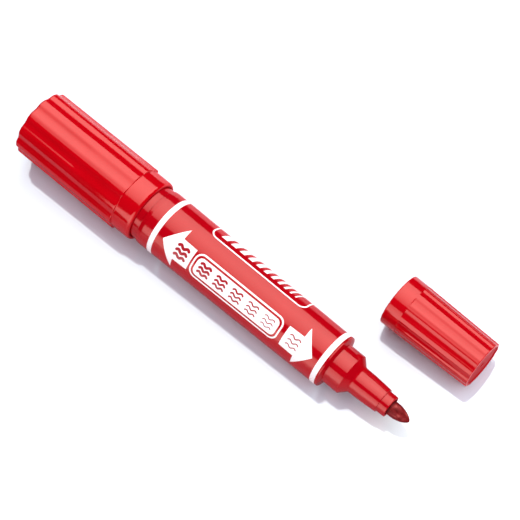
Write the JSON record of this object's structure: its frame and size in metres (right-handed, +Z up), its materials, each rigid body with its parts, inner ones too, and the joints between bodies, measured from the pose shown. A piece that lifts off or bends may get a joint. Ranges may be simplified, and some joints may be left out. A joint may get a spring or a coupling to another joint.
{
  "type": "twin-tip felt marker",
  "caption": "Twin-tip felt marker: tapered barrel with a broad and a fine felt nib, a fluted cap on the broad end and a smaller grooved cap lying off beside the fine end.",
  "frame": {"origin": "centre of the object's box on the surface it lies on", "axes": "+X along the pen from the broad end to the fine end, +Y towards the side where the loose fine cap lies, +Z up"},
  "size_m": [0.1386, 0.0424, 0.02],
  "materials": {
    "cap_plastic": "polished injection moulding, red",
    "barrel_plastic": "polished injection moulding, red, with white print",
    "holder_plastic": "injection moulding, red",
    "liner_plastic": "soft natural polyethylene",
    "nib_felt": "pressed felt soaked in red ink",
    "ink_fibre": "bundled fibre soaked in red ink",
    "sleeve_film": "thin wrapping film"
  },
  "bodies": {
    "broad_cap_body": {"broad_cap": "cap_plastic", "broad_cap_liner": "liner_plastic"},
    "pen_body": {"barrel": "barrel_plastic", "broad_holder": "holder_plastic", "broad_nib": "nib_felt", "ink_reservoir": "ink_fibre", "reservoir_sleeve": "sleeve_film", "fine_holder": "holder_plastic", "fine_nib": "nib_felt"},
    "fine_cap_body": {"fine_cap": "cap_plastic", "fine_cap_liner": "liner_plastic"}
  },
  "joints": [
    {"name": "pen_pull", "type": "slide", "parent": "broad_cap_body", "child": "pen_body", "axis": [1, 0, 0], "range_m": [0, 0.0424]},
    {"name": "fine_cap_travel", "type": "slide", "parent": "broad_cap_body", "child": "fine_cap_body", "axis": [0.8615, -0.5078, 0], "range_m": [0, 0.04835]}
  ]
}
